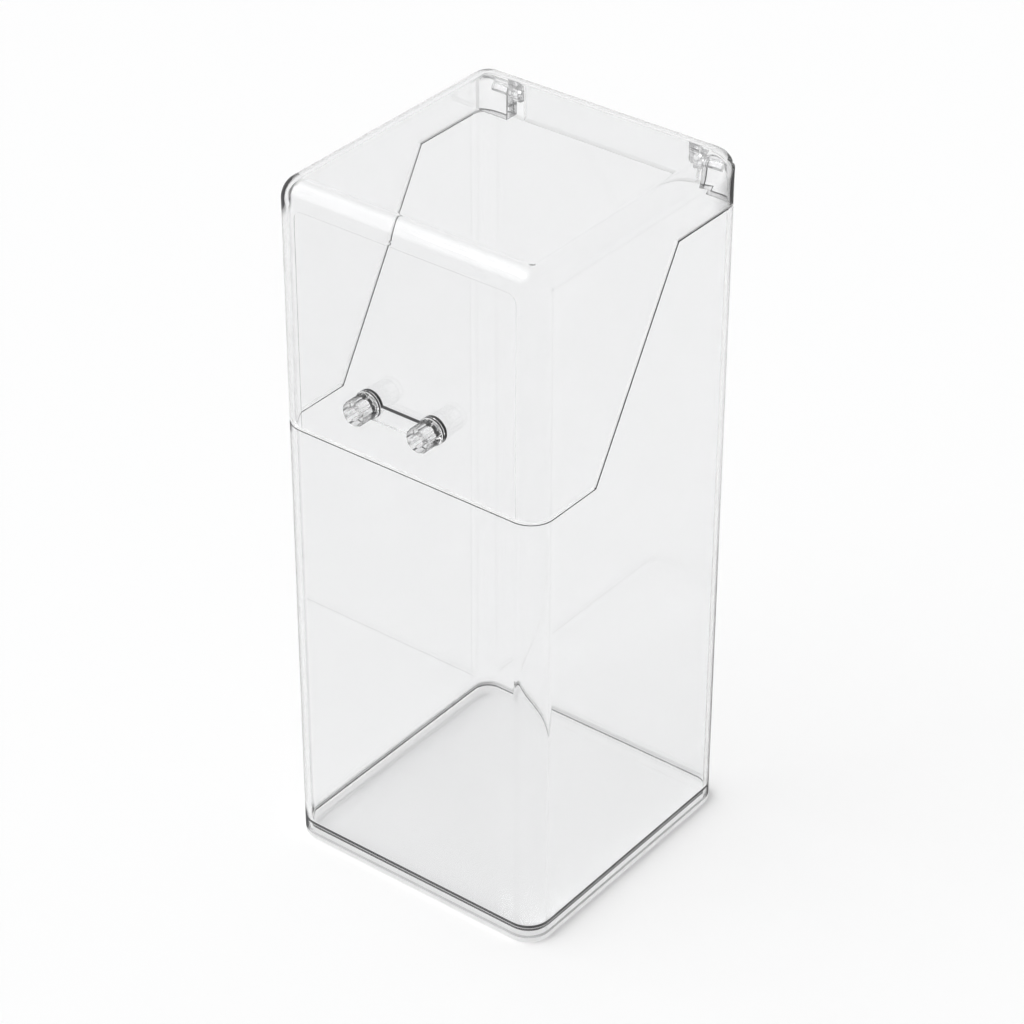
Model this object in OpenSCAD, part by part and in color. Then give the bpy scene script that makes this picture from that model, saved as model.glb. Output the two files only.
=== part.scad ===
// Clear makeup brush box with a hinged flip lid.
// The origin is the middle of the underside of the base. +Z is up, the front faces -Y, +X is right.

/* [Box] */
// Outside width, left to right
box_w = 95; // [80:1:120]
// Outside depth, front to back
box_d = 98; // [85:1:120]
// Overall height with the lid shut
box_h = 233; // [200:1:260]
// Thickness of the body and lid walls
wall = 2; // [1.6:0.1:2.4]
// Outside radius of the upright corners
corner_r = 8; // [7.5:0.5:12]
// Outside radius of the lid's top edges
edge_r = 7; // [5:0.5:7.5]
// Thickness of the base plate's rim, under the body's walls
base_t = 1.8; // [1.4:0.1:3]
// Bevel round the foot of the base plate
base_bevel = 0.6; // [0.3:0.1:1]
// Height of the floor inside the body, above the foot
floor_h = 4.5; // [3.5:0.5:6]
// Radius of the cove round the floor
cove_r = 1.3; // [0.8:0.1:2]
// Thickness of the cove's upper edge
cove_lip = 0.3; // [0.2:0.05:0.6]
// Clearance of a bonded joint
bond_gap = 0.08; // [0.05:0.01:0.15]

/* [Seam] */
// Height of the lid's front, from its lower edge level to the top
lid_front_h = 80.5; // [70:0.5:95]
// Height of the lid's rear skirt, from the rear rim level to the top
lid_rear_h = 16.8; // [15.8:0.2:24]
// Where the sloping seam starts, back from the front face
slope_start = 28; // [20:1:34]
// Where the sloping seam ends, back from the front face
slope_end = 65.5; // [56:0.5:72]
// Air gap between the lid's edge and the body's rim
seam_gap = 0.7; // [0.6:0.1:1]
// Air gap under the lid's rear skirt, at its inner edge
skirt_gap = 0.12; // [0.1:0.02:0.2]
// How much more gap the skirt's outer edge has, for its swing
skirt_relief = 0.38; // [0.36:0.02:0.6]

/* [Lid panel] */
// Margin from the box's side to the sunk panel inside the lid's front
panel_margin = 8.2; // [8:0.2:16]
// Margin from the lid's top to the sunk panel
panel_top = 8; // [7.5:0.5:14]
// Radius of the panel's upper corners
panel_r = 3; // [1:0.5:6]
// Depth of the panel
panel_sink = 0.25; // [0.1:0.05:0.4]

/* [Hinge] */
// Height of the pin above the body's rear rim
hinge_rise = 8.8; // [8:0.2:9.6]
// Outside radius of the knuckles
knuckle_r = 2.5; // [2.2:0.1:2.6]
// How far the knuckles lie inside the back face
knuckle_inset = 0.1; // [0:0.05:0.3]
// Diameter of the hinge pin
pin_d = 2.4; // [1.6:0.1:2.8]
// Width of each hinge block, from the box's side
block_w = 12.6; // [10:0.2:16]
// Width of each lid lug
lug_w = 3.6; // [3:0.2:6]
// Length of pin held in the block
pin_grip = 6.4; // [4:0.2:8]
// Depth of the block's tongue below the rim
tongue_h = 3; // [2:0.5:6]
// Thickness of the block's tongue
tongue_t = 2.4; // [1.6:0.2:3]
// Play between block and lug, along the pin
side_play = 0.3; // [0.2:0.05:0.5]
// Air between the block and the lid that swings round it
swing_gap = 0.5; // [0.4:0.05:0.8]
// Radial clearance of the pin in the block
pin_fit = 0.02; // [0.01:0.01:0.04]
// Radial clearance of the pin in the lug
pin_play = 0.05; // [0.04:0.01:0.1]
// How far the lid opens, in degrees
lid_opening = 110; // [95:1:112]

/* [Handle] */
// Distance between the two knobs
knob_spacing = 23.2; // [18:0.2:40]
// Height of the knobs above the body's front rim
knob_rise = 20.1; // [10:0.1:40]
// Diameter of a knob's grip
knob_d = 8; // [6:0.2:12]
// Length of a knob in front of the lid
knob_len = 8.2; // [6:0.2:14]
// Bevel on the knob's front rim
knob_bevel = 0.4; // [0.2:0.1:0.6]
// Diameter of the flange behind the grip
flange_d = 8.7; // [8.4:0.1:14]
// Thickness of the flange
flange_t = 1.9; // [1:0.1:3]
// Number of flutes round the grip
flute_n = 10; // [6:1:12]
// Radius of a flute
flute_r = 1; // [0.6:0.1:1.2]
// Depth of a flute
flute_depth = 0.3; // [0.15:0.05:0.4]
// Diameter of the recess in the knob's front
recess_d = 4.2; // [2:0.2:4.6]
// Depth of that recess
recess_h = 5; // [2:0.5:5.5]
// Diameter of the stud that goes through the lid
stud_d = 3.6; // [2.4:0.2:6]
// Radial clearance of the stud in its hole
stud_fit = 0.05; // [0.02:0.01:0.1]
// Height of the strip between the knobs
strip_h = 5.4; // [3:0.2:8]
// Thickness of the strip
strip_t = 1.4; // [1:0.1:3]
// How far the strip's middle lies below the knobs
strip_drop = 2; // [0:0.1:3]
// Clearance between the strip's ends and the flanges
strip_fit = 0.1; // [0.05:0.05:0.2]

/* [Hidden] */
$fn = 96;
clear_tint = [0.93, 0.95, 0.96, 0.4];
// a cutting solid runs past the face it cuts by this much
past = 1;

inner_w = box_w - 2 * wall;
inner_d = box_d - 2 * wall;
inner_h = box_h - wall;
inner_corner_r = corner_r - wall;
inner_edge_r = edge_r - wall;
plug_r = inner_corner_r - bond_gap;

front_y = -box_d / 2;
back_y = box_d / 2;
front_rim_z = box_h - lid_front_h;
rear_rim_z = box_h - lid_rear_h;
slope_angle = atan2(rear_rim_z - front_rim_z, slope_end - slope_start);

hinge_y = back_y - knuckle_inset - knuckle_r;
hinge_z = rear_rim_z + hinge_rise;
block_x = box_w / 2 - block_w;
lug_x = block_x - side_play - lug_w;
// the block turns back in the lid as the lid opens, and this is how high it then reaches above the pin
swing_reach = (back_y - hinge_y - knuckle_r * cos(lid_opening)) / sin(lid_opening);
notch_over = knuckle_r * sin(lid_opening) - cos(lid_opening) * swing_reach + swing_gap;
notch_y = hinge_y - knuckle_r - swing_gap;
notch_x = lug_x - bond_gap;

knob_z = front_rim_z + knob_rise;
knob_x = knob_spacing / 2;
sides = [-1, 1];

// Shapes that the pieces share

// A block with round upright corners. The child is its half profile: out from the corner's axis, and up.
module round_block(w, d, h, r) {
    core_w = w - 2 * r;
    core_d = d - 2 * r;
    translate([-core_w / 2, -core_d / 2, 0])
        cube([core_w, core_d, h]);
    for (turn = [0:3]) {
        out = (turn % 2 == 0 ? core_w : core_d) / 2;
        run = turn % 2 == 0 ? core_d : core_w;
        rotate(90 * turn)
            translate([out, run / 2, 0]) {
                rotate([90, 0, 0])
                    linear_extrude(run)
                        children();
                rotate_extrude(angle = 90)
                    children();
            }
    }
}

// A straight rounded block, such as the outside or inside of the body
module round_prism(w, d, h, r)
    round_block(w, d, h, r)
        square([r, h]);

// A rounded block whose top edges are rounded over as well
module round_cap(w, d, h, r, top_r)
    round_block(w, d, h, r) {
        square([r, h - top_r]);
        square([r - top_r, h]);
        translate([r - top_r, h - top_r])
            intersection() {
                circle(top_r);
                square(top_r);
            }
    }

// Extrudes a side view, drawn as depth and height, across the box from x to x + w
module from_side(x, w)
    translate([x, 0, 0])
        rotate([90, 0, 90])
            linear_extrude(w)
                children();

// The side view of all that lies below the seam, lifted square off it by a gap
module below_seam(lift) {
    shift = lift * tan(slope_angle / 2);
    polygon([
        [front_y - past, -past],
        [front_y - past, front_rim_z + lift],
        [front_y + slope_start - shift, front_rim_z + lift],
        [front_y + slope_end - shift, rear_rim_z + lift],
        [back_y + past, rear_rim_z + lift],
        [back_y + past, -past]
    ]);
}

// The same for the lid's middle, whose rear skirt comes close to the rim and is relieved outwards
module below_skirt()
    polygon([
        [front_y - past, -past],
        [front_y - past, front_rim_z + seam_gap],
        [front_y + slope_start, front_rim_z + seam_gap],
        [front_y + slope_end, rear_rim_z + skirt_gap],
        [back_y - wall, rear_rim_z + skirt_gap],
        [back_y + past, rear_rim_z + skirt_gap + skirt_relief * (wall + past) / wall],
        [back_y + past, -past]
    ]);

// A cylinder along the hinge's axis, from x outwards by a length
module hinge_rod(x, len, r)
    translate([x, hinge_y, hinge_z])
        rotate([0, 90, 0])
            cylinder(r = r, h = len);

// Stands a part of the handle on the lid's front face, with its own Z pointing forwards
module on_front(x, z)
    translate([x, front_y, z])
        rotate([90, 0, 0])
            children();

// Draws a right-hand piece, or its mirror image on the left
module on_side(side)
    mirror([side < 0 ? 1 : 0, 0, 0])
        children();

// The box

module body_shell()
    color(clear_tint)
        intersection() {
            translate([0, 0, base_t])
                difference() {
                    round_prism(box_w, box_d, box_h, corner_r);
                    translate([0, 0, -past])
                        round_prism(inner_w, inner_d, box_h + 2 * past, inner_corner_r);
                }
            from_side(-box_w / 2 - past, box_w + 2 * past)
                below_seam(0);
        }

// A rim that carries the walls, and a plug inside them whose floor curves up to the walls in a cove
module base_plate()
    color(clear_tint) {
        cove_in = plug_r - cove_lip - cove_r;
        round_block(box_w, box_d, base_t, corner_r)
            polygon([
                [0, 0],
                [corner_r - base_bevel, 0],
                [corner_r, base_bevel],
                [corner_r, base_t],
                [0, base_t]
            ]);
        round_block(inner_w - 2 * bond_gap, inner_d - 2 * bond_gap, floor_h, plug_r)
            difference() {
                square([plug_r, floor_h + cove_r]);
                translate([-past, floor_h])
                    square([past + cove_in, cove_r + past]);
                translate([cove_in, floor_h + cove_r])
                    circle(cove_r);
            }
    }

module hinge_block(side)
    color(clear_tint)
        on_side(side)
            difference() {
                union() {
                    intersection() {
                        round_prism(box_w, box_d, box_h, corner_r);
                        from_side(block_x, block_w) {
                            translate([hinge_y - knuckle_r, rear_rim_z])
                                square([2 * knuckle_r, hinge_rise]);
                            translate([hinge_y, hinge_z])
                                circle(knuckle_r);
                        }
                    }
                    intersection() {
                        round_prism(inner_w - 2 * bond_gap, inner_d - 2 * bond_gap, box_h, plug_r);
                        translate([block_x, inner_d / 2 - bond_gap - tongue_t, rear_rim_z - tongue_h])
                            cube([block_w, tongue_t, tongue_h + past]);
                    }
                }
                hinge_rod(block_x - past, past + pin_grip + bond_gap, pin_d / 2 + pin_fit);
            }

module hinge_pin(side)
    color(clear_tint)
        on_side(side)
            hinge_rod(lug_x, lug_w + side_play + pin_grip, pin_d / 2);

// The lid

// What the hinge block and lug need cut out of the lid's rear corner
module hinge_notch()
    translate([notch_x, notch_y, -past])
        cube([box_w, box_d, hinge_z + notch_over + past]);

module lid_panel()
    translate([0, front_y + wall + panel_sink, 0])
        rotate([90, 0, 0])
            linear_extrude(2 * panel_sink) {
                half_w = box_w / 2 - panel_margin;
                top = box_h - panel_top;
                translate([-half_w, 0])
                    square([2 * half_w, top - panel_r]);
                translate([panel_r - half_w, 0])
                    square([2 * (half_w - panel_r), top]);
                for (side = sides)
                    translate([side * (half_w - panel_r), top - panel_r])
                        circle(panel_r);
            }

module lid_shell()
    color(clear_tint)
        difference() {
            round_cap(box_w, box_d, box_h, corner_r, edge_r);
            translate([0, 0, -past])
                round_cap(inner_w, inner_d, inner_h + past, inner_corner_r, inner_edge_r);
            from_side(-notch_x, 2 * notch_x)
                below_skirt();
            lid_panel();
            for (side = sides) {
                on_side(side) {
                    from_side(notch_x, box_w / 2 + past - notch_x)
                        below_seam(seam_gap);
                    hinge_notch();
                }
                on_front(side * knob_x, knob_z)
                    translate([0, 0, -wall - past])
                        cylinder(d = stud_d + 2 * stud_fit, h = wall + 2 * past);
            }
        }

module hinge_lug(side)
    color(clear_tint)
        on_side(side)
            difference() {
                from_side(lug_x, lug_w) {
                    translate([hinge_y, hinge_z])
                        circle(knuckle_r);
                    lug_web();
                }
                hinge_rod(lug_x - past, lug_w + 2 * past, pin_d / 2 + pin_play);
            }

// The lug's web, bonded under the lid's top and into its rounded rear edge
module lug_web() {
    seat_r = inner_edge_r - bond_gap;
    seat_y = inner_d / 2 - inner_edge_r;
    seat_z = inner_h - inner_edge_r;
    front = hinge_y - knuckle_r;
    intersection() {
        translate([front, hinge_z])
            square([inner_d / 2 - bond_gap - front, inner_h - hinge_z]);
        union() {
            translate([seat_y, seat_z])
                circle(seat_r);
            translate([front - past, hinge_z - past])
                square([inner_d / 2 - bond_gap - front + past, seat_z - hinge_z + past]);
        }
    }
}

// The handle

module handle_strip()
    color(clear_tint)
        on_front(0, knob_z)
            difference() {
                translate([-knob_x, -strip_drop - strip_h / 2, 0])
                    cube([knob_spacing, strip_h, strip_t]);
                for (side = sides)
                    translate([side * knob_x, 0, -past])
                        cylinder(d = flange_d + 2 * strip_fit, h = strip_t + 2 * past);
            }

module knob(side)
    color(clear_tint)
        on_front(side * knob_x, knob_z)
            difference() {
                union() {
                    cylinder(d = flange_d, h = flange_t);
                    translate([0, 0, -wall])
                        cylinder(d = stud_d, h = wall + flange_t);
                    difference() {
                        rotate_extrude()
                            polygon([
                                [0, 0],
                                [knob_d / 2, 0],
                                [knob_d / 2, knob_len - knob_bevel],
                                [knob_d / 2 - knob_bevel, knob_len],
                                [0, knob_len]
                            ]);
                        for (i = [0:flute_n - 1])
                            rotate(360 * i / flute_n)
                                translate([knob_d / 2 + flute_r - flute_depth, 0, flange_t])
                                    cylinder(r = flute_r, h = knob_len);
                    }
                }
                translate([0, 0, knob_len - recess_h])
                    cylinder(d = recess_d, h = recess_h + past);
            }

body_shell();
base_plate();
lid_shell();
hinge_block(-1);  // left_hinge_block
hinge_block(1);  // right_hinge_block
hinge_lug(-1);  // left_hinge_lug
hinge_lug(1);  // right_hinge_lug
hinge_pin(-1);  // left_hinge_pin
hinge_pin(1);  // right_hinge_pin
handle_strip();
knob(-1);  // left_knob
knob(1);  // right_knob
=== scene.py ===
# %% [markdown]
# # A clear makeup brush box, seen as in a product photograph
# The box is a tall square tube of clear plastic with a base plate, a flip lid, two hinges and a small
# handle. Clear plastic has hardly any colour of its own. It is seen by its edges, by what it bends and by
# what it mirrors, so this lesson spends most of its care on edges, on clean solid walls and on the light.
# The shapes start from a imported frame. All sizes are in metres, and `mm` stands for a millimetre.

import math

import bmesh
import bpy
from mathutils import Matrix, Vector


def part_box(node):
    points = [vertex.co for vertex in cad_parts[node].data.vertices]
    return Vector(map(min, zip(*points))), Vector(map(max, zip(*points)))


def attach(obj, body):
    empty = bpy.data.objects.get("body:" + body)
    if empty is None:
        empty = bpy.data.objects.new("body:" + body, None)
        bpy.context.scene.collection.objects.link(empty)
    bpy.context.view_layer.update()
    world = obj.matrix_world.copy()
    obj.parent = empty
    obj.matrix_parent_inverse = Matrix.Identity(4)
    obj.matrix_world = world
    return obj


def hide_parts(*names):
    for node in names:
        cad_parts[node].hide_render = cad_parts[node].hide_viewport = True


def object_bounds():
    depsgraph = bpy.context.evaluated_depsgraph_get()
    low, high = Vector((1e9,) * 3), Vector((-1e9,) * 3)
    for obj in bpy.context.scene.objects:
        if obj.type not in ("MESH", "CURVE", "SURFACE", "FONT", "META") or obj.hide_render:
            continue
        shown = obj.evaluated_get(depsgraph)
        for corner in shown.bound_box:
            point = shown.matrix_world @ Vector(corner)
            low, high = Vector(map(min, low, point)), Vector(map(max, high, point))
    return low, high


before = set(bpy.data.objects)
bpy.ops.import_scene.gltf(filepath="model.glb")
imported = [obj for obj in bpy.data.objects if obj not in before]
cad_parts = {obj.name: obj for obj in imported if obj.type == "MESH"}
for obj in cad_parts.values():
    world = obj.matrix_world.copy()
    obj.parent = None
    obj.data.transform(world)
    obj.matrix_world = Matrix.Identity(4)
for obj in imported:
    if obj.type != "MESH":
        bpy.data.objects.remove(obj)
cad_low, cad_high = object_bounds()
scene = bpy.context.scene
mm = 0.001
body_low, body_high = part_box("body_shell")
lid_low, lid_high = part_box("lid_shell")
print("frame nodes:", len(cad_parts), "size in mm:", [round(x / mm, 1) for x in cad_high - cad_low])

# %% [markdown]
# ## The camera
# The picture was taken from the front right and from above, with a long lens, so upright edges stay almost
# parallel. A camera is placed by turning and lifting a line from the middle of the box, and walking back
# along it. The angle, the distance and the lens were measured from the outline, in a frame of 1024 by 1024
# pixels.

# %% Stand the camera where the picture was taken
frame_px = 1024
focal_px = 3391.3
shift_right_px = 3.1
shift_up_px = -5.8
sensor_mm = 36
turn = math.radians(37.685)
lift = math.radians(33.371)
roll = math.radians(0.107)
distance = 1021.4 * mm
aim = Vector((0, 0, cad_high.z / 2))
back = Vector((math.sin(turn) * math.cos(lift), -math.cos(turn) * math.cos(lift), math.sin(lift)))

camera = bpy.data.objects.new("camera", bpy.data.cameras.new("camera"))
camera.location = aim + back * distance
camera.rotation_mode = "QUATERNION"
level = (-back).to_track_quat("-Z", "Y")
camera.rotation_quaternion = level @ Matrix.Rotation(roll, 4, "Z").to_quaternion()
camera.data.sensor_width = sensor_mm
camera.data.lens = focal_px / frame_px * sensor_mm
camera.data.shift_x = shift_right_px / frame_px
camera.data.shift_y = shift_up_px / frame_px
camera.data.clip_start = 50 * mm
camera.data.clip_end = 60
scene.collection.objects.link(camera)
scene.camera = camera
print("lens in mm:", round(camera.data.lens, 1))

# %% [markdown]
# ## Writing shaders as sums
# A shader is a chart of boxes and threads. Drawing it by hand in code is long, so a small class stands for
# one thread. Adding, taking away, multiplying or raising a thread puts the right Math box into the chart.
# `most` keeps the larger of two threads, and `ease` lets a thread rise or fall softly between two values.

# %% Threads
class Thread:
    def __init__(self, chart, socket):
        self.chart = chart
        self.socket = socket

    def maths(self, operation, first, second):
        return self.chart.step("ShaderNodeMath", {"operation": operation}, {0: first, 1: second})["Value"]

    def __add__(self, other):
        return self.maths("ADD", self, other)

    def __radd__(self, other):
        return self.maths("ADD", other, self)

    def __sub__(self, other):
        return self.maths("SUBTRACT", self, other)

    def __rsub__(self, other):
        return self.maths("SUBTRACT", other, self)

    def __mul__(self, other):
        return self.maths("MULTIPLY", self, other)

    def __rmul__(self, other):
        return self.maths("MULTIPLY", other, self)

    def __pow__(self, other):
        return self.maths("POWER", self, other)

    def most(self, other):
        return self.maths("MAXIMUM", self, other)

    def ease(self, start, stop, low, high):
        return self.chart.step(
            "ShaderNodeMapRange",
            {"interpolation_type": "SMOOTHSTEP"},
            {"Value": self, "From Min": start, "From Max": stop, "To Min": low, "To Max": high},
        )["Result"]


print("a thread can be added, multiplied, raised and eased")

# %% [markdown]
# Any other box comes from `step`, which takes its type, its settings and what goes into its sockets.
# Some boxes are needed again and again and have short names: a colour between two, a blend of two shaders,
# a see-through shader, and the question whether a ray is looking for light rather than for a view.

# %% Charts
class Chart:
    def __init__(self, owner):
        owner.use_nodes = True
        self.tree = owner.node_tree
        self.tree.nodes.clear()

    def step(self, kind, settings=None, sockets=None):
        box = self.tree.nodes.new(kind)
        for name, value in (settings or {}).items():
            setattr(box, name, value)
        for name, value in (sockets or {}).items():
            if isinstance(value, Thread):
                self.tree.links.new(value.socket, box.inputs[name])
            else:
                box.inputs[name].default_value = value
        return {out.name: Thread(self, out) for out in box.outputs if out.enabled}

    def colour_between(self, share, first, second):
        sockets = {"Factor": share, "A": (*first, 1), "B": (*second, 1)}
        return self.step("ShaderNodeMix", {"data_type": "RGBA"}, sockets)["Result"]

    def noise(self, place, scale, detail):
        sockets = {"Vector": place, "Scale": scale, "Detail": detail}
        return self.step("ShaderNodeTexNoise", {}, sockets)["Fac"]

    def principled(self, sockets):
        return self.step("ShaderNodeBsdfPrincipled", {}, sockets)["BSDF"]

    def blend(self, share, first, second):
        return self.step("ShaderNodeMixShader", {}, {0: share, 1: first, 2: second})["Shader"]

    def see_through(self, tone):
        return self.step("ShaderNodeBsdfTransparent", {}, {"Color": (tone, tone, tone, 1)})["BSDF"]

    def looks_for_light(self):
        path = self.step("ShaderNodeLightPath")
        return path["Is Shadow Ray"].most(path["Is Diffuse Ray"])

    def place_on_piece(self):
        return self.step("ShaderNodeTexCoord")["Object"]

    def output(self, surface):
        self.step("ShaderNodeOutputMaterial", {}, {"Surface": surface})


print("a chart can add any box")

# %% [markdown]
# ## The clear plastic
# The walls are moulded in clear, polished plastic. Light is bent on its way in and out, and a little is
# lost, so a glass-like shader with a pale tint is the start. Real mouldings are never perfect: flow marks
# bend the reflections a little, and handling dulls the gloss in places. Both are soft clouds, and those of
# the flow are stretched upwards, the way the plastic ran into the mould.

# %% Bend the light
plastic_ior = 1.5
cloud_scale = 42.0
flow_scales = (60.0, 60.0, 9.0)
flow_strength = 0.02
flow_height = 0.2 * mm
deep_share = 0.985


def moulded(chart, place, tint, gloss, dull):
    clouds = chart.noise(place, cloud_scale, 4.0)
    stretched = chart.step("ShaderNodeMapping", {}, {"Vector": place, "Scale": flow_scales})["Vector"]
    flow = chart.noise(stretched, 1.0, 1.0)
    bump = {"Height": flow, "Strength": flow_strength, "Distance": flow_height}
    sockets = {
        "Base Color": chart.colour_between(clouds, tuple(x * deep_share for x in tint), tint),
        "Roughness": gloss + (dull - gloss) * clouds ** 3.0,
        "Normal": chart.step("ShaderNodeBump", {}, bump)["Normal"],
        "IOR": plastic_ior,
        "Transmission Weight": 1.0,
    }
    return chart.principled(sockets)


print("flow marks in mm:", [round(1 / x / mm) for x in flow_scales])

# %% [markdown]
# A clear wall looks dark where it is seen edge-on, because the light there runs along inside the plastic
# and does not come out towards the eye. Tracing that to its end is slow, so the shader paints it in as
# painted shade: a soft dark outline where the surface turns away, and a little painted loss where light is
# trapped. A few corners show a black accent in the picture. A mark paints a deeper outline near such a
# corner, a painted dark accent. An upright does so along an upright edge, and there heights are squeezed,
# so that its reach is long and thin.

# %% Paint shade where a wall is seen edge-on
outline_turn = (0.55, 0.9)
painted_accent_turn = (0.44, 0.6)
upright_turn = (0.6, 0.85)
upright_core = 0.4
squeeze = Vector((1.0, 1.0, 0.15))


def distance_to(chart, place, spot):
    return chart.step("ShaderNodeVectorMath", {"operation": "DISTANCE"}, {0: place, 1: spot})["Value"]


def painted_edge_shade(chart, place, loss, rim, marks, uprights):
    trapped = chart.step("ShaderNodeFresnel", {}, {"IOR": plastic_ior})["Fac"]
    turned = chart.step("ShaderNodeLayerWeight", {}, {"Blend": 0.5})["Facing"]
    amount = turned.ease(*outline_turn, 0.0, rim) + trapped ** 3.0 * loss
    for spot, reach, strength in marks:
        near = distance_to(chart, place, spot).ease(0.0, reach, strength, 0.0)
        amount = amount + near * turned.ease(*painted_accent_turn, 0.0, 1.0)
    for spot, reach, strength in uprights:
        pressed = {0: place, 1: squeeze}
        low_place = chart.step("ShaderNodeVectorMath", {"operation": "MULTIPLY"}, pressed)["Vector"]
        away = distance_to(chart, low_place, spot * squeeze)
        near = away.ease(upright_core * reach, reach, strength, 0.0)
        amount = amount + near * turned.ease(*upright_turn, 0.0, 1.0)
    return amount


print("an upright reaches", round(1 / squeeze.z, 1), "times as far up as across")

# %% [markdown]
# Light on its way to a surface would be stopped by such walls. Where a ray looks for light, the plastic
# therefore answers with a see-through shader, which is darker where the ray grazes the surface. A sawn edge
# is partly matt, and `matt` says how much.

# %% Put a clear plastic together
# The colour of the painted shade that the outline, the accents and trapped light mix into the skin.
painted_shade_tone = (0.03, 0.03, 0.032, 1)
sawn_tone = (0.97, 0.97, 0.97, 1)
grazing_passes = 0.8


def clear_plastic(
    name, tint, gloss=0.0, dull=0.02, loss=0.06, rim=0.2, passes=0.992, marks=(), uprights=(), matt=0.0
):
    finish = bpy.data.materials.new(name)
    chart = Chart(finish)
    place = chart.place_on_piece()
    plastic = moulded(chart, place, tint, gloss, dull)
    # Painted shade: the skin is blended towards this dark where it is edge-on, trapped or near an accent.
    dark = chart.principled({"Base Color": painted_shade_tone, "Roughness": 0.4, "Specular IOR Level": 0.1})
    skin = chart.blend(painted_edge_shade(chart, place, loss, rim, marks, uprights), plastic, dark)
    if matt > 0:
        sawn = chart.principled({"Base Color": sawn_tone, "Roughness": 0.6})
        skin = chart.blend(matt, skin, sawn)
    graze = chart.step("ShaderNodeLayerWeight", {}, {"Blend": 0.35})["Facing"]
    passing = chart.blend(graze ** 3.0, chart.see_through(passes), chart.see_through(grazing_passes))
    chart.output(chart.blend(chart.looks_for_light(), skin, passing))
    return finish


print("clear plastic bends light by", plastic_ior)

# %% [markdown]
# The pieces are moulded apart, so each has its own plastic: the thick base lets a little less light pass,
# the cove round the floor gets more painted shade where light is trapped, and the small hinges and knobs
# are clearer with a stronger painted outline. Each mark is a painted dark accent: a place, its reach and
# its strength. The marks sit where the picture shows accents: at three corners of the lid, at two corners
# of the foot and at the front rim. The upright paints shade along the body's right rear edge, the side away
# from the lamp.

# %% Mix the clear plastics
wall_tint = (0.935, 0.937, 0.94)
cove_tint = (0.95, 0.952, 0.955)
lid_tint = (0.93, 0.932, 0.935)
hinge_tint = (0.97, 0.97, 0.973)
handle_tint = (0.975, 0.975, 0.977)
front_rim = lid_low.z - 0.7 * mm


def spot_near(x, y, z, offset):
    return Vector((x, y, z)) + Vector(offset) * mm


# Painted dark accents near three corners of the lid.
lid_painted_accents = [
    (spot_near(lid_low.x, lid_low.y, lid_high.z, (1, 2, -4)), 9 * mm, 2.6),
    (spot_near(lid_high.x, lid_high.y, lid_high.z, (0, -2, -11)), 16 * mm, 1.4),
    (spot_near(lid_low.x, lid_high.y, lid_high.z, (1.5, -3, -2)), 8 * mm, 1.4),
]
# Painted dark accents at two corners of the foot and at the front rim.
body_painted_accents = [
    (spot_near(body_low.x, body_low.y, body_low.z, (1, 2, 3.2)), 7 * mm, 2.6),
    (spot_near(body_high.x, body_high.y, body_low.z, (-1, -2, 2.2)), 6 * mm, 1.6),
    (spot_near(body_low.x, body_low.y, front_rim, (0.5, 1, -0.5)), 5 * mm, 2.2),
]
# Painted shade along the right rear upright edge, on the side away from the lamp.
body_painted_upright_shade = [(spot_near(body_high.x, body_high.y, 0, (-1.7, -3.1, 40)), 14 * mm, 0.42)]

body_plastic = clear_plastic("clear_body", wall_tint, rim=0.25, marks=body_painted_accents, uprights=body_painted_upright_shade)
base_plastic = clear_plastic("clear_base", wall_tint, loss=0.0, passes=0.978)
cove_plastic = clear_plastic("clear_cove", cove_tint, loss=0.6)
lid_plastic = clear_plastic("clear_lid", lid_tint, rim=0.14, marks=lid_painted_accents)
cut_plastic = clear_plastic("clear_cut", wall_tint, rim=0.1, matt=0.6)
hinge_plastic = clear_plastic("clear_hinge", hinge_tint, gloss=0.01, dull=0.04, loss=0.14, rim=0.6)
handle_plastic = clear_plastic("clear_handle", handle_tint, gloss=0.01, dull=0.03, loss=0.07, rim=0.6)
print("plastics:", [m.name for m in (body_plastic, lid_plastic, hinge_plastic, handle_plastic)])

# %% [markdown]
# ## Cut edges, joints and painted lines
# Where plastic is cut or bonded it is no longer clear. A sawn rim is pale, and on the slopes it is painted
# brighter, as a painted highlight. A fine edge between two faces is painted grey or dark, as painted shade,
# and a dark strip where the floor meets the walls is a painted shade line. These are satin finishes with a
# fine grain. A joint lit from behind glows, so part of it is translucent. The thinnest lines would throw a
# shadow that the real ones don't have, so they let light pass.

# %% Mix the cut edges
grain_scale = 900.0
grain_share = 0.9
line_passes = 0.95


def cut_edge(name, colour, glows=0.0, casts=True):
    finish = bpy.data.materials.new(name)
    chart = Chart(finish)
    grain = chart.noise(chart.place_on_piece(), grain_scale, 2.0)
    grained = chart.colour_between(grain, tuple(x * grain_share for x in colour), colour)
    satin = chart.principled({"Base Color": grained, "Roughness": 0.45, "Specular IOR Level": 0.2})
    glow = chart.step("ShaderNodeBsdfTranslucent", {}, {"Color": (*colour, 1)})["BSDF"]
    surface = chart.blend(glows, satin, glow)
    if not casts:
        surface = chart.blend(chart.looks_for_light(), surface, chart.see_through(line_passes))
    chart.output(surface)
    return finish


pale_edge = cut_edge("pale_edge", (0.86, 0.86, 0.86))
pale_joint = cut_edge("pale_joint", (0.95, 0.95, 0.95), glows=0.66)
# A painted highlight: sawn faces on the slopes are painted brighter than the pale ones.
painted_highlight_edge = cut_edge("painted_highlight_edge", (0.97, 0.97, 0.97))
# Painted shade: a grey line on the lid's lower outer edge and under the body's foot.
painted_grey_edge = cut_edge("painted_grey_edge", (0.55, 0.55, 0.555), casts=False)
# Painted shade: dark lines on the body's rim edges, the hinge blocks, the strip's top and the knob flanges.
painted_shade_edge = cut_edge("painted_shade_edge", (0.07, 0.07, 0.072), casts=False)
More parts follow.
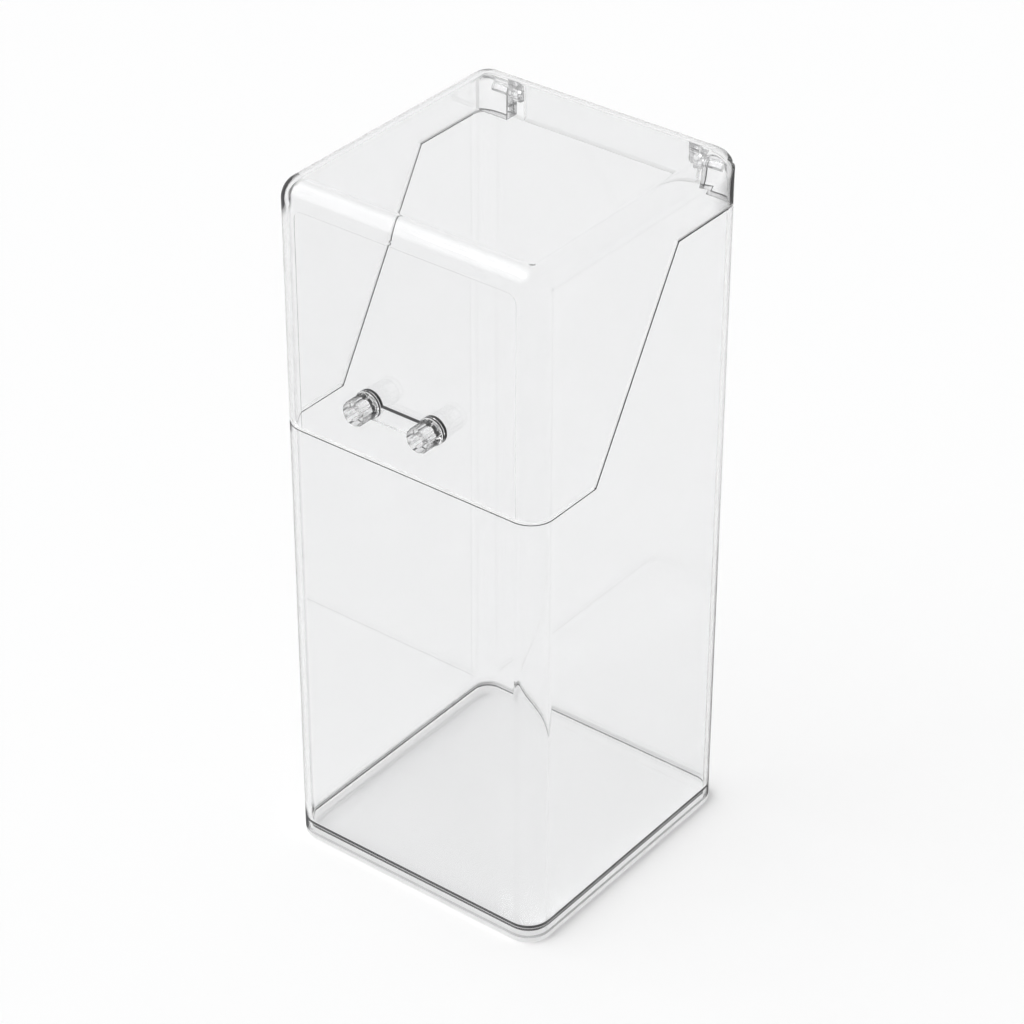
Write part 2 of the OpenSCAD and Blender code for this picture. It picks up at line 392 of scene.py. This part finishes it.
# Painted shade: a dark strip where the walls meet the floor.
painted_shade_strip = cut_edge("painted_shade_strip", (0.05, 0.05, 0.052), casts=False)
print("edges:", [m.name for m in (pale_edge, pale_joint, painted_highlight_edge, painted_grey_edge, painted_shade_edge, painted_shade_strip)])

# %% [markdown]
# ## Edges that have been polished
# A sharp corner does not exist on a moulded piece: each edge has a small radius, and it is this radius that
# shows as a fine line in the picture. The frame's meshes are loose triangles, so a copy is merged, its flat
# faces are joined up again, and the chosen edges are bevelled. A line can also be scored round a piece,
# which lets a narrow strip of its surface have a finish of its own.

# %% Copy a frame node, soften its edges and score lines
weld = 0.0005 * mm
flat_angle = math.radians(0.1)
sharp_angle = math.radians(40)


def welded_copy(node):
    shape = bmesh.new()
    shape.from_mesh(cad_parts[node].data)
    bmesh.ops.remove_doubles(shape, verts=shape.verts, dist=weld)
    bmesh.ops.dissolve_limit(shape, angle_limit=flat_angle, verts=shape.verts, edges=shape.edges)
    return shape


def sharp_edges(shape, wanted=lambda middle: True):
    sharp = [e for e in shape.edges if e.is_manifold and e.calc_face_angle() > sharp_angle]
    return [e for e in sharp if wanted((e.verts[0].co + e.verts[1].co) / 2)]


def soften(shape, edges, radius, segments=3, clamp=True):
    made = bmesh.ops.bevel(
        shape, geom=edges, offset=radius, offset_type="OFFSET", segments=segments,
        profile=0.5, affect="EDGES", material=-1, clamp_overlap=clamp,
    )
    return made["faces"]


def score(shape, point, direction, clear_below=False):
    everything = shape.verts[:] + shape.edges[:] + shape.faces[:]
    bmesh.ops.bisect_plane(
        shape, geom=everything, plane_co=point, plane_no=direction, clear_inner=clear_below
    )


def move(shape, x=0, y=0, z=0):
    bmesh.ops.translate(shape, vec=(x, y, z), verts=shape.verts)


print("edges bent by more than", round(math.degrees(sharp_angle)), "degrees can be softened")

# %% [markdown]
# Each piece becomes an object that rides on its body and stands for its frame node. Its faces are smooth,
# with the flats kept flat by weighted normals, because a flat clear wall with bent normals would look like
# a lens. A rule given as `choose` picks the finish of each face, often by the way the face looks: inwards,
# or with nearly all of its direction along one axis.

# %% Turn a shape into a finished piece
crease_angle = math.radians(28)
square_on = 0.9
hardly = 0.1


def looks_inward(face):
    at = face.calc_center_median()
    return at.x * face.normal.x + at.y * face.normal.y < 0


def finish_piece(shape, name, body, node, finishes, choose=None):
    mesh = bpy.data.meshes.new(name)
    for face in shape.faces:
        face.smooth = True
        face.material_index = choose(face) if choose else 0
    open_edges = sum(1 for e in shape.edges if not e.is_manifold)
    shape.to_mesh(mesh)
    shape.free()
    mesh.set_sharp_from_angle(angle=crease_angle)
    for finish in finishes:
        mesh.materials.append(finish)
    piece = bpy.data.objects.new(name, mesh)
    scene.collection.objects.link(piece)
    even = piece.modifiers.new("even_normals", "WEIGHTED_NORMAL")
    even.weight = 100
    even.keep_sharp = True
    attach(piece, body)
    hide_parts(node)
    print(name, "faces:", len(mesh.polygons), "open edges:", open_edges)


print("pieces keep a crease above", round(math.degrees(crease_angle)), "degrees")

# %% [markdown]
# ## The body
# The body is a square tube with round corners. Its rim is low at the front, climbs along both sides and is
# high behind. It stands on the base plate's rim, and its foot is lifted by a hair, because light cannot
# cross two skins that lie in the same place. A strip scored into the inner wall carries a painted shade
# line.

# %% Make the body
touch = 0.01 * mm
foot_lift = 0.04 * mm
edge_radius = 0.2 * mm
# Heights of the strip painted dark as a shade line on the inner wall.
shade_strip_low = 4.8 * mm
shade_strip_high = 5.8 * mm
half_up = (body_low.z + body_high.z) / 2

tube = welded_copy("body_shell")
foot = min(v.co.z for v in tube.verts)
bmesh.ops.translate(tube, vec=(0, 0, foot_lift), verts=[v for v in tube.verts if v.co.z < foot + touch])
rim_lines = set(soften(tube, sharp_edges(tube, lambda at: at.z > half_up), edge_radius))
for height in (shade_strip_low, shade_strip_high):
    score(tube, (0, 0, height), (0, 0, 1))
print("faces that round the rim:", len(rim_lines))

# %% [markdown]
# The rim's two fine edges are painted dark in front and along the sides, as painted shade, which draws the
# seam under the lid. The sawn top between them is painted bright on the low and sloping parts, a painted
# highlight, and paler on the level part at the rear.

# %% Finish the body
foot_zone = 0.2 * mm
rim_tilt = 0.2
rear_level = body_high.z - 16.2 * mm
rear_zone = body_high.y - 9 * mm


def body_finish(face):
    at = face.calc_center_median()
    # The foot's underside gets the painted grey shade line.
    if at.z < foot + foot_zone and face.normal.z < -square_on:
        return 1
    # Painted shade on the rim's fine edges in front and along the sides.
    if face in rim_lines and at.y < rear_zone:
        return 3
    # Painted highlight on the low and sloping sawn top; the level rear part stays pale.
    if at.z > half_up and face.normal.z > rim_tilt:
        return 4 if at.z > rear_level else 5
    # A strip of the inner wall is painted dark, a painted shade line.
    return 2 if looks_inward(face) and shade_strip_low < at.z < shade_strip_high else 0


finish_piece(
    tube, "body", "box", "body_shell",
    [body_plastic, painted_grey_edge, painted_shade_strip, painted_shade_edge, pale_edge, painted_highlight_edge], body_finish,
)

# %% [markdown]
# ## The base
# A rim carries the walls, and a thick plug inside them makes the floor, which curves up to the walls in a
# cove. It could be cut from a block. Here a rounded sheet is raised step by step, as a potter raises a
# wall: each step insets the top face and lifts or sinks it.

# %% Lay a rounded sheet
corner_radius = 8 * mm
corner_steps = 12
base_low, base_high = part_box("base_plate")


def rounded_sheet(half_x, half_y, height):
    sheet = bmesh.new()
    bmesh.ops.create_grid(sheet, x_segments=1, y_segments=1, size=1)
    bmesh.ops.scale(sheet, vec=(half_x, half_y, 1), verts=sheet.verts)
    move(sheet, z=height)
    bmesh.ops.bevel(
        sheet, geom=sheet.verts[:], offset=corner_radius, offset_type="OFFSET", segments=corner_steps,
        profile=0.5, affect="VERTICES", material=-1, clamp_overlap=False,
    )
    return sheet


def climb(shape, top, inset, rise):
    bmesh.ops.inset_region(
        shape, faces=[top], thickness=inset, depth=rise, use_boundary=True, use_even_offset=True
    )


base = rounded_sheet(base_high.x, base_high.y, base_low.z)
print("sheet in mm:", round(2 * base_high.x / mm, 1), "by", round(2 * base_high.y / mm, 1))

# %% [markdown]
# The plug stands a hair away from the walls, and its side is divided at two heights, for the painted shade
# line that shows through the walls. The cove is a quarter circle taken in six steps.

# %% Raise the base
wall = 2.0 * mm
hair = 0.08 * mm
rim_top = 1.8 * mm
line_low = 3.7 * mm
line_high = 4.5 * mm
lip = 0.3 * mm
cove = 1.3 * mm
cove_steps = 6
foot_bevel = 0.6 * mm

raised = bmesh.ops.extrude_face_region(base, geom=base.faces[:], use_keep_orig=True)["geom"]
top = next(part for part in raised if isinstance(part, bmesh.types.BMFace))
bmesh.ops.translate(base, vec=(0, 0, rim_top), verts=top.verts)
climb(base, top, wall + hair, 0)
climb(base, top, 0, line_low - rim_top)
climb(base, top, 0, line_high - line_low)
climb(base, top, 0, base_high.z - line_high)
climb(base, top, lip, 0)
turns = [math.radians(90 / cove_steps * i) for i in range(cove_steps + 1)]
for before, after in zip(turns, turns[1:]):
    inward = cove * (math.cos(before) - math.cos(after))
    downward = cove * (math.sin(after) - math.sin(before))
    climb(base, top, inward, -downward)
bmesh.ops.recalc_face_normals(base, faces=base.faces)
soften(base, sharp_edges(base, lambda at: at.z < touch), foot_bevel)
print("faces of the base:", len(base.faces))

# %% [markdown]
# Seen through the walls, the plug's side is a pale joint below, a painted shade line in the middle and a
# pale edge above. The cove has its own plastic, with more painted shade where light is trapped, and the
# outside of the rim and its bevel are a pale joint too.

# %% Finish the base
cove_share = 0.97
underside = -0.98


def base_finish(face):
    at = face.calc_center_median()
    on_plug = abs(at.x) < base_high.x - wall and abs(at.y) < base_high.y - wall
    if face.normal.z > square_on and at.z > base_high.z - touch:
        return 4
    if on_plug and abs(face.normal.z) < hardly and at.z < base_high.z - lip:
        if at.z > line_high:
            return 4
        # The middle band of the plug's side is the strip painted dark as a shade line.
        return 3 if at.z > line_low else 2
    if face.normal.z > -hardly and at.z > base_high.z - cove * cove_share:
        return 1
    if at.z < rim_top and underside < face.normal.z < hardly:
        return 2
    return 0


finish_piece(
    base, "base", "box", "base_plate",
    [base_plastic, cove_plastic, pale_joint, painted_shade_strip, pale_edge], base_finish,
)

# %% [markdown]
# ## The lid
# The lid is a deep cap, rounded along its top edges, with the same stepped lower edge as the body's rim.
# The sunk panel inside its front keeps a sharp outline, so the edges in the front wall are left alone,
# apart from the lowest outer one.

# %% Make the lid
front_skin = lid_low.y + 0.5 * mm
front_inside = lid_low.y + 2.5 * mm
lowest_zone = lid_low.z + 0.8 * mm

cap = welded_copy("lid_shell")
cap_edges = sharp_edges(cap, lambda at: at.y > front_inside or at.y < front_skin and at.z < lowest_zone)
lid_lines = set(soften(cap, cap_edges, edge_radius))
print("faces that round the lid's edges:", len(lid_lines))

# %% [markdown]
# The lid's outer lower edge is painted as a fine grey line, a painted shade line. The sawn face beside it
# is half matt in front, painted bright on the slopes as a painted highlight, and pale at the rear, where it
# rises in a small step and the hinges have their seats.

# %% Finish the lid
line_top = body_high.z + 0.8 * mm
skirt_top = body_high.z + 0.78 * mm
seat_top = body_high.z + 1.3 * mm
seat_inset = 2.1 * mm
step_front = lid_high.y - 9 * mm
step_back = lid_high.y - 5 * mm
under_tilt = -0.4


def lid_finish(face):
    at = face.calc_center_median()
    on_seat = abs(at.y) < lid_high.y - seat_inset and abs(at.x) > lid_high.x - seat_inset
    low_part = at.z < skirt_top or at.z < seat_top and on_seat
    on_step = face.normal.y > square_on and step_front < at.y < step_back
    sawn = face.normal.z < under_tilt and low_part or on_step
    # Painted shade: the outer lower edge is a grey line.
    if face in lid_lines and not looks_inward(face) and at.z < line_top:
        return 2
    # Painted highlight: the sawn slopes are painted brighter than the pale rear.
    if sawn and at.z < rear_level:
        return 4 if abs(face.normal.y) > hardly else 3
    return 1 if sawn else 0


finish_piece(
    cap, "lid", "lid", "lid_shell",
    [lid_plastic, pale_edge, painted_grey_edge, cut_plastic, painted_highlight_edge], lid_finish,
)

# %% [markdown]
# ## The hinges
# At each rear corner a block on the body holds a pin, and a lug under the lid turns on it. They are bonded
# on, so each is moved by a hair to keep the skins apart. The block's low tongue is trimmed at the rim,
# because its foot would share a skin with the rim. The block's outer edges are rounded and painted dark as
# painted shade, and the edges of its bore stay as they are.

# %% Make the hinge pieces
hinge_gap = 0.02 * mm
trim_level = body_high.z + 0.1 * mm
bore_zone = 2 * mm
block_radius = 0.25 * mm
lug_radius = 0.3 * mm

for side in ("left", "right"):
    pin_low, pin_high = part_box(f"{side}_hinge_pin")
    axis = (pin_low + pin_high) / 2
    block = welded_copy(f"{side}_hinge_block")
    move(block, z=hinge_gap)
    score(block, (0, 0, trim_level), (0, 0, 1), clear_below=True)
    bmesh.ops.holes_fill(block, edges=[e for e in block.edges if e.is_boundary], sides=0)
    outer = sharp_edges(block, lambda at: math.hypot(at.y - axis.y, at.z - axis.z) > bore_zone)
    # Painted shade: the rounded outer edges get the dark edge finish.
    rounded = set(soften(block, outer, block_radius, segments=2, clamp=False))
    finish_piece(
        block, f"{side}_block", "box", f"{side}_hinge_block",
        [hinge_plastic, painted_shade_edge], lambda face: 1 if face in rounded else 0,
    )
    pin = welded_copy(f"{side}_hinge_pin")
    move(pin, z=hinge_gap)
    finish_piece(pin, f"{side}_pin", "box", f"{side}_hinge_pin", [hinge_plastic])
    lug = welded_copy(f"{side}_hinge_lug")
    move(lug, z=-hinge_gap)
    soften(lug, sharp_edges(lug), lug_radius, segments=2)
    finish_piece(lug, f"{side}_lug", "lid", f"{side}_hinge_lug", [hinge_plastic])

# %% [markdown]
# ## The handle
# Two fluted knobs with flanges, and a thin strip between them, are bonded to the lid's front. The strip's
# upper side is painted dark, a painted shade line, because the picture shows a dark line from knob to knob.

# %% Make the strip
bond_gap = 0.03 * mm
upper_tilt = 0.7

strip = welded_copy("handle_strip")
move(strip, y=-bond_gap)


# Painted shade: the strip's upper face is dark.
def strip_finish(face):
    return 1 if face.normal.z > upper_tilt else 0


finish_piece(
    strip, "strip", "lid", "handle_strip",
    [handle_plastic, painted_shade_edge], strip_finish,
)

# %% [markdown]
# The side of each knob's flange is painted dark as painted shade, with one clear band in it. Two scored
# lines bound that band.

# %% Make the knobs
flange_back = lid_low.y - 0.1 * mm
flange_front = lid_low.y - 2 * mm
flange_core = 4.1 * mm
band_back = lid_low.y - 1.05 * mm
band_front = lid_low.y - 1.25 * mm
side_tilt = 0.5

for side in ("left", "right"):
    knob_low, knob_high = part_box(f"{side}_knob")
    middle = (knob_low + knob_high) / 2
    knob = welded_copy(f"{side}_knob")
    for depth in (band_back, band_front):
        score(knob, (0, depth, 0), (0, 1, 0))
    move(knob, y=-bond_gap)

    def knob_finish(face):
        at = face.calc_center_median()
        on_side = abs(face.normal.y) < side_tilt and flange_front < at.y < flange_back
        on_flange = on_side and math.hypot(at.x - middle.x, at.z - middle.z) > flange_core
        in_band = band_front < at.y + bond_gap < band_back
        # Painted shade: the flange's side is dark outside the clear band.
        return 1 if on_flange and not in_band else 0

    finish_piece(
        knob, f"{side}_grip", "lid", f"{side}_knob",
        [handle_plastic, painted_shade_edge], knob_finish,
    )

# %% [markdown]
# ## The floor
# The box stands on a plain pale sweep. It lies a hair below the foot, so that plastic and paper do not
# share a skin.

# %% Lay the floor
floor_half = 6
floor_drop = 0.3 * mm
paper_tone = (0.945, 0.945, 0.945, 1)

sheet = bmesh.new()
bmesh.ops.create_grid(sheet, x_segments=1, y_segments=1, size=floor_half)
move(sheet, z=-floor_drop)
paper_mesh = bpy.data.meshes.new("floor")
sheet.to_mesh(paper_mesh)
sheet.free()
floor = bpy.data.objects.new("floor", paper_mesh)
scene.collection.objects.link(floor)

paper = bpy.data.materials.new("paper")
chart = Chart(paper)
chart.output(chart.step("ShaderNodeBsdfDiffuse", {}, {"Color": paper_tone})["BSDF"])
paper_mesh.materials.append(paper)
print("floor at", round(min(v.co.z for v in paper_mesh.vertices) / mm, 2), "mm")

# %% [markdown]
# ## The light
# A soft lamp stands at the front left, high up, and throws the faint shadow to the right. It is made of two
# parts: a small sun here, and a broad glow in the room in the next cell.

# %% Set the lamp
lamp_heading = Vector((0.36, 0.49, -0.8))

lamp = bpy.data.lights.new("soft_lamp", "SUN")
lamp.angle = math.radians(26)
lamp.energy = 0.5
lamp_stand = bpy.data.objects.new("soft_lamp", lamp)
lamp_stand.rotation_mode = "QUATERNION"
lamp_stand.rotation_quaternion = lamp_heading.to_track_quat("-Z", "Y")
scene.collection.objects.link(lamp_stand)
print("lamp:", round(lamp.energy, 2))

# %% [markdown]
# The room is bright behind the box and dim in front, so that light has a direction and the shadow shows.
# To the eye the backdrop is white all round, and so it is in mirrored and bent views, because clear walls
# that showed a dim room would turn grey. That white is only there to be looked at: it adds no light to the
# paper.

# %% Paint the room
behind_turn = (-0.1, 0.6)
dim_in_front = 0.06
bright_behind = 0.85
glow_from = Vector((-0.45, -0.48, 0.78)).normalized()
glow_turn = (0.7, 0.94)
glow_strength = 2.37

scene.world = bpy.data.worlds.new("room")
chart = Chart(scene.world)
toward = chart.step("ShaderNodeTexCoord")["Generated"]


def share_along(heading):
    sockets = {0: toward, 1: heading}
    return chart.step("ShaderNodeVectorMath", {"operation": "DOT_PRODUCT"}, sockets)["Value"]


away = share_along((-math.sin(turn), math.cos(turn), 0))
lit = away.ease(*behind_turn, dim_in_front, bright_behind)
lit = lit + share_along(glow_from).ease(*glow_turn, 0.0, glow_strength)
path = chart.step("ShaderNodeLightPath")
seen = path["Is Camera Ray"].most(path["Is Glossy Ray"]).most(path["Is Transmission Ray"])
backdrop = {"Color": (1, 1, 1, 1), "Strength": lit.most(seen)}
room = chart.step("ShaderNodeBackground", {}, backdrop)["Background"]
chart.step("ShaderNodeOutputWorld", {}, {"Surface": room})
print("room:", dim_in_front, "in front,", bright_behind, "behind, glow up to", glow_strength)

# %% [markdown]
# A view through the box crosses many clear skins, and each crossing counts as a bounce. With too few of
# them the corners would turn black. The plain view setting keeps white as white.

# %% Allow the light its way
clear_bounces = 32

scene.view_settings.view_transform = "Standard"
scene.cycles.max_bounces = clear_bounces
scene.cycles.transmission_bounces = clear_bounces
scene.cycles.glossy_bounces = clear_bounces
scene.cycles.transparent_max_bounces = 2 * clear_bounces
scene.cycles.use_denoising = True
print("bounces:", scene.cycles.max_bounces)
